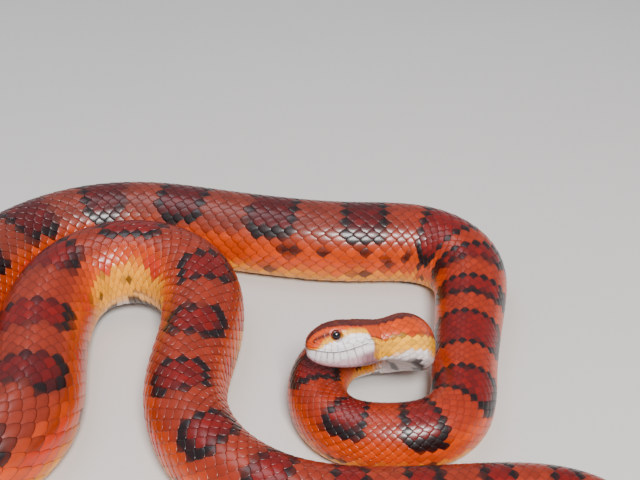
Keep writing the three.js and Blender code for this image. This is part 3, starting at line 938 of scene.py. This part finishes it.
def scale_places():
    """The row and the count along the body of every scale above the belly scutes."""
    places = []
    for row in range(-OUTER_ROW, OUTER_ROW + 1):
        q = np.arange(0.12 + 0.5 * (row % 2), last_q - 0.7, 1.0)
        distance = distance_of(q)
        keep = (np.abs(row) + 0.3) * row_pitch(distance) < SCUTE_EDGE
        places.append(np.stack([q[keep], np.full(keep.sum(), row)], -1))
    return np.concatenate(places)


def make_scales(name, places, rng):
    """One piece of the coat, a closed scale at each place, coloured mostly as at its root, with
    painted shade towards its edge.
    """
    form, faces = scale_form()
    q = places[:, :1] + form[None, :, 0]
    distance = distance_of(np.clip(q, 0, last_q))
    label = (places[:, 1:] + form[None, :, 1]) * row_pitch(distance)
    depth = form[None, :, 2] * skin_depth(distance)
    points = body_point(distance, label, depth)
    root_distance = distance_of(places[:, 0])
    root_label = places[:, 1] * row_pitch(root_distance)
    root_colour = body_colour(root_distance, root_label)
    here = body_colour(distance, label)
    # Painted shade towards each scale's edge and a faint painted highlight at its middle, with a
    # random tint
    shade = form[None, :, 3] * (1 + SCALE_TINT * rng.uniform(-1, 1, (len(places), 1)))
    colour = (ROOT_COLOUR * root_colour[:, None] + (1 - ROOT_COLOUR) * here) * shade[..., None]
    root = unwrap(root_distance, root_label, strip_of(root_distance))
    uv = root[:, None] + form[None, :, :2] * SCALE_PATCH
    starts = np.arange(len(places))[:, None, None] * len(form)
    polygons = (faces[None] + starts).reshape(-1, 3)[:, ::-1]
    uv = uv.reshape(-1, 2)[polygons.ravel()].reshape(len(places), len(faces), 3, 2)
    uv[:, 2 - SCALE_SIDES :] = uv[:, 2 - SCALE_SIDES :, 2:]
    return make_mesh(name, points.reshape(-1, 3), [polygons], colour.reshape(-1, 3), uv)


# Rows of a belly scute: place along, share of the skin's depth, painted shade darkest at the hidden
# underside and the rear edge, place on the unwrap
SCUTE_ROWS = [
    (-0.1, 1.3, 0.55, 0.03), (-0.1, 0.75, 0.85, 0.06), (0.3, 0.45, 1, 0.35), (0.8, 0.2, 1, 0.8),
    (1.06, 0.12, 0.8, 0.93), (1.08, 1.3, 0.5, 0.97),
]
SCUTE_COLUMNS = 19
SCUTE_OVERLAP = 0.55
SCUTE_END_DEPTH = 1.1
SCUTE_TINT = 0.05


def make_scutes(rng):
    """Belly scutes as wide plates with a raised rear edge, one to each row of scales."""
    numbers = np.arange(0, int(last_q) - 1)[:, None, None]
    along, depth_share, shade, cell = np.array(SCUTE_ROWS).T[:, None, :, None]
    across = np.linspace(-1, 1, SCUTE_COLUMNS)
    distance = distance_of(np.clip(numbers + along + 0 * across, 0, last_q))
    label = 180 + across * (180 - SCUTE_EDGE + SCUTE_OVERLAP * row_pitch(distance))
    end = smoothstep(0.82, 1, np.abs(across))
    depth = (depth_share * (1 - end) + SCUTE_END_DEPTH * end) * skin_depth(distance)
    points = body_point(distance, label, depth)
    points[..., 2] = np.maximum(points[..., 2], 0)
    # Painted shade by row of the scute, darkest at its hidden underside and rear edge, with a random
    # tint
    tone = shade * (1 + SCUTE_TINT * rng.uniform(-1, 1, numbers.shape))
    number = np.broadcast_to(numbers, distance.shape)
    colour = belly_colour(distance, label, number) * tone[..., None]

    # Faces of a plate: its top, then the hidden ones under it and at its two ends
    rows = len(SCUTE_ROWS)
    i, j = np.meshgrid(np.arange(rows - 1), np.arange(SCUTE_COLUMNS - 1), indexing="ij")
    a = (i * SCUTE_COLUMNS + j).ravel()
    top = np.stack([a, a + 1, a + 1 + SCUTE_COLUMNS, a + SCUTE_COLUMNS], -1)
    first = np.arange(SCUTE_COLUMNS - 1)
    last = (rows - 1) * SCUTE_COLUMNS + first
    under = np.stack([first + 1, first, last, last + 1], -1)
    left = np.array([[0, 1, 2, 3], [0, 3, 4, 5]]) * SCUTE_COLUMNS
    right = left[:, ::-1] + SCUTE_COLUMNS - 1
    quads = np.concatenate([top, under, left, right])
    polygons = (quads[None] + numbers * rows * SCUTE_COLUMNS).reshape(-1, 4)
    place = distance_of(numbers + cell + 0 * across)
    strip = strip_of(distance_of(numbers))
    uv = unwrap(place, label - 180, strip).reshape(-1, 2)[polygons.ravel()]
    uv = uv.reshape(numbers.size, len(quads), 4, 2)
    uv[:, len(top):] = uv[:, len(top):, :1]
    return make_mesh("belly_scutes", points.reshape(-1, 3), [polygons], colour.reshape(-1, 3), uv)


# Eye: its mesh, its axis, and where pupil and iris fade, in degrees from the axis
EYE_RINGS = 40
EYE_COLUMNS = 48
EYE_AXIS = np.array([0.12, 1.0, 0.1])
PUPIL_EDGE = (40, 44)
IRIS_FADE = (46, 58)
SPOKE_TINT = 0.18


def make_eye(name, sign):
    """An eyeball with a round pupil, its colours set by the angle from its axis."""
    polar = np.linspace(0, np.pi, EYE_RINGS + 1)[1:-1]
    turn = np.arange(EYE_COLUMNS) * 2 * np.pi / EYE_COLUMNS
    axis = EYE_AXIS / np.linalg.norm(EYE_AXIS)
    across = np.cross(axis, [0, 0, 1.0])
    across = across / np.linalg.norm(across)
    third = np.cross(across, axis)
    ring = np.cos(turn)[:, None] * across + np.sin(turn)[:, None] * third
    points = np.cos(polar)[:, None, None] * axis + np.sin(polar)[:, None, None] * ring[None]
    points = np.concatenate([[axis], points.reshape(-1, 3), [-axis]]) * EYE_RADIUS + EYE_CENTRE
    points = from_head(points * [1, sign, 1])

    polar_all = np.concatenate([[0], np.repeat(polar, EYE_COLUMNS), [np.pi]])
    turn_all = np.concatenate([[0], np.tile(turn, EYE_RINGS - 1), [0]])
    spokes = np.tile(np.sin(turn * 17) * np.sin(turn * 5 + 1), EYE_RINGS - 1)
    spokes = np.concatenate([[0], spokes, [0]])
    angle = np.degrees(polar_all)
    iris = mix(IRIS_INSIDE, IRIS_OUTSIDE, smoothstep(*IRIS_FADE, angle))
    iris = iris * (1 + SPOKE_TINT * spokes)[:, None]
    colour = mix(PUPIL, iris, smoothstep(*PUPIL_EDGE, angle))

    r, c = np.meshgrid(np.arange(EYE_RINGS - 2), np.arange(EYE_COLUMNS), indexing="ij")
    a = 1 + (r * EYE_COLUMNS + c).ravel()
    b = 1 + (r * EYE_COLUMNS + (c + 1) % EYE_COLUMNS).ravel()
    quads = np.stack([a, b, b + EYE_COLUMNS, a + EYE_COLUMNS], -1)
    k = np.arange(EYE_COLUMNS)
    after = (k + 1) % EYE_COLUMNS
    base = 1 + (EYE_RINGS - 2) * EYE_COLUMNS
    front = np.stack([0 * k, 1 + after, 1 + k], -1)
    rear = np.stack([0 * k + len(points) - 1, base + k, base + after], -1)
    polygons = [quads, front, rear]
    if sign < 0:
        polygons = [faces[:, ::-1] for faces in polygons]
    turned = np.stack([np.cos(turn_all), np.sin(turn_all)], -1)
    flat = 0.5 + 0.48 * (polar_all / np.pi)[:, None] * turned
    uv = flat[np.concatenate([p.ravel() for p in polygons])]
    behind = uv[-3 * EYE_COLUMNS :].reshape(EYE_COLUMNS, 3, 2)
    behind[:] = behind[:, 1:2]
    return make_mesh(name, points, polygons, colour, uv)


def link(tree, source, output, target, name):
    """Join a node's output to another's input."""
    tree.links.new(source.outputs[output], target.inputs[name])


def noise_texture(tree, scale, detail):
    """A noise texture in the object's own space."""
    place = tree.nodes.new("ShaderNodeTexCoord")
    texture = tree.nodes.new("ShaderNodeTexNoise")
    texture.inputs["Scale"].default_value = scale
    texture.inputs["Detail"].default_value = detail
    link(tree, place, "Object", texture, "Vector")
    return texture


def spread(tree, texture, low, high):
    """A texture's value spread from low to high."""
    node = tree.nodes.new("ShaderNodeMapRange")
    node.inputs["To Min"].default_value = low
    node.inputs["To Max"].default_value = high
    link(tree, texture, "Fac", node, "Value")
    return node


COAT_ROUGHNESS = 0.18
SPECULAR_LEVEL = 0.35
MOTTLE_SCALE = 420
GRAIN_DEPTH = 0.0002


def make_material(name, roughness, coat, grain_scale, grain_strength, tint=0.16):
    """A softly shining surface: the markings with fine mottling, wear in the gloss, and grain."""
    material = bpy.data.materials.new(name)
    material.use_nodes = True
    tree = material.node_tree
    shader = tree.nodes["Principled BSDF"]
    shader.inputs["Coat Weight"].default_value = coat
    shader.inputs["Coat Roughness"].default_value = COAT_ROUGHNESS
    shader.inputs["Specular IOR Level"].default_value = SPECULAR_LEVEL
    marks = tree.nodes.new("ShaderNodeAttribute")
    marks.attribute_name = "Markings"
    mottle = noise_texture(tree, MOTTLE_SCALE, 4)
    shades = spread(tree, mottle, 1 - tint, 1 + tint)
    tone = tree.nodes.new("ShaderNodeHueSaturation")
    link(tree, marks, "Color", tone, "Color")
    link(tree, shades, "Result", tone, "Value")
    link(tree, tone, "Color", shader, "Base Color")
    gloss = spread(tree, mottle, roughness - 0.08, roughness + 0.1)
    link(tree, gloss, "Result", shader, "Roughness")
    bump = tree.nodes.new("ShaderNodeBump")
    bump.inputs["Strength"].default_value = grain_strength
    bump.inputs["Distance"].default_value = GRAIN_DEPTH
    link(tree, noise_texture(tree, grain_scale, 3), "Fac", bump, "Height")
    link(tree, bump, "Normal", shader, "Normal")
    return material


FLESH = [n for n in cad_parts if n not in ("eye_left", "eye_right")]
TINT_SEED = 7


def make_snake():
    """The skin, the coat in pieces, the belly scutes and the eyes."""
    rng = np.random.default_rng(TINT_SEED)
    skin_surface = make_material(
        "snake skin", roughness=0.42, coat=0.15, grain_scale=1800, grain_strength=0.25)
    scale_surface = make_material(
        "snake scales", roughness=0.34, coat=0.35, grain_scale=2600, grain_strength=0.2)
    scute_surface = make_material(
        "belly scutes", roughness=0.38, coat=0.2, grain_scale=1500, grain_strength=0.2, tint=0.05)
    eye_surface = make_material(
        "eye", roughness=0.09, coat=1.0, grain_scale=900, grain_strength=0.02, tint=0.05)
    skin = make_skin()
    skin.data.materials.append(skin_surface)
    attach(skin, "root")
    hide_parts(*FLESH)
    places = scale_places()
    places = places[np.argsort(places[:, 0], kind="stable")]
    for number, part in enumerate(np.array_split(places, COAT_PIECES)):
        scales = make_scales(f"scales_{number + 1}", part, rng)
        scales.data.materials.append(scale_surface)
        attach(scales, "root")
    scutes = make_scutes(rng)
    scutes.data.materials.append(scute_surface)
    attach(scutes, "root")
    for name, sign in (("eye_left", 1), ("eye_right", -1)):
        eye = make_eye("fine_" + name, sign)
        eye.data.materials.append(eye_surface)
        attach(eye, "root")
        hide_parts(name)


# Camera, with the focal length in pixels of the image's width
CAMERA_PITCH = math.radians(35)
CAMERA_DISTANCE = 0.455
CAMERA_TARGET = Vector((0.036, 0.098, 0))
FOCAL_PIXELS = 924
IMAGE_WIDTH = 640
SENSOR = 36
NEAREST = 0.01


def make_camera():
    """A camera that looks down at the animal from the front."""
    data = bpy.data.cameras.new("camera")
    data.sensor_width = SENSOR
    data.lens = FOCAL_PIXELS / IMAGE_WIDTH * SENSOR
    data.clip_start = NEAREST
    camera = bpy.data.objects.new("camera", data)
    back = Vector((0, -math.cos(CAMERA_PITCH), math.sin(CAMERA_PITCH)))
    camera.location = CAMERA_TARGET + back * CAMERA_DISTANCE
    camera.rotation_euler = (math.pi / 2 - CAMERA_PITCH, 0, 0)
    bpy.context.scene.collection.objects.link(camera)
    bpy.context.scene.camera = camera


FLOOR_REACH = 3.0
FLOOR_DARK = (0.60, 0.58, 0.56, 1)
FLOOR_PALE = (0.68, 0.66, 0.64, 1)


def make_floor():
    """A plain pale floor."""
    mesh = bpy.data.meshes.new("floor")
    corners = [(-1, -1), (1, -1), (1, 1), (-1, 1)]
    corners = [(x * FLOOR_REACH, y * FLOOR_REACH, 0) for x, y in corners]
    mesh.from_pydata(corners, [], [(0, 1, 2, 3)])
    floor = bpy.data.objects.new("floor", mesh)
    bpy.context.scene.collection.objects.link(floor)
    material = bpy.data.materials.new("pale floor")
    material.use_nodes = True
    tree = material.node_tree
    shader = tree.nodes["Principled BSDF"]
    shader.inputs["Roughness"].default_value = 0.85
    ramp = tree.nodes.new("ShaderNodeValToRGB")
    ramp.color_ramp.elements[0].color = FLOOR_DARK
    ramp.color_ramp.elements[1].color = FLOOR_PALE
    link(tree, noise_texture(tree, 3, 2), "Fac", ramp, "Fac")
    link(tree, ramp, "Color", shader, "Base Color")
    mesh.materials.append(material)


# Soft lights: name, place, target, width, power and colour
LIGHTS = [
    ("key", (0.2, -0.62, 0.85), (0.02, 0, 0.01), 0.3, 17, (1, 0.985, 0.96)),
    ("top", (-0.3, 0.25, 1.1), (0, 0, 0), 0.6, 4, (0.9, 0.94, 1)),
]
SKY_COLOUR = (0.9, 0.94, 1, 1)
SKY_STRENGTH = 0.4


def make_lights():
    """A pale sky and the soft lights."""
    world = bpy.data.worlds.new("studio")
    bpy.context.scene.world = world
    world.use_nodes = True
    background = world.node_tree.nodes["Background"]
    background.inputs["Color"].default_value = SKY_COLOUR
    background.inputs["Strength"].default_value = SKY_STRENGTH
    for name, place, target, width, power, colour in LIGHTS:
        data = bpy.data.lights.new(name, "AREA")
        data.size = width
        data.energy = power
        data.color = colour
        light = bpy.data.objects.new(name, data)
        light.location = place
        aim = Vector(target) - Vector(place)
        light.rotation_euler = aim.to_track_quat("-Z", "Y").to_euler()
        bpy.context.scene.collection.objects.link(light)


make_snake()
make_floor()
make_lights()
make_camera()
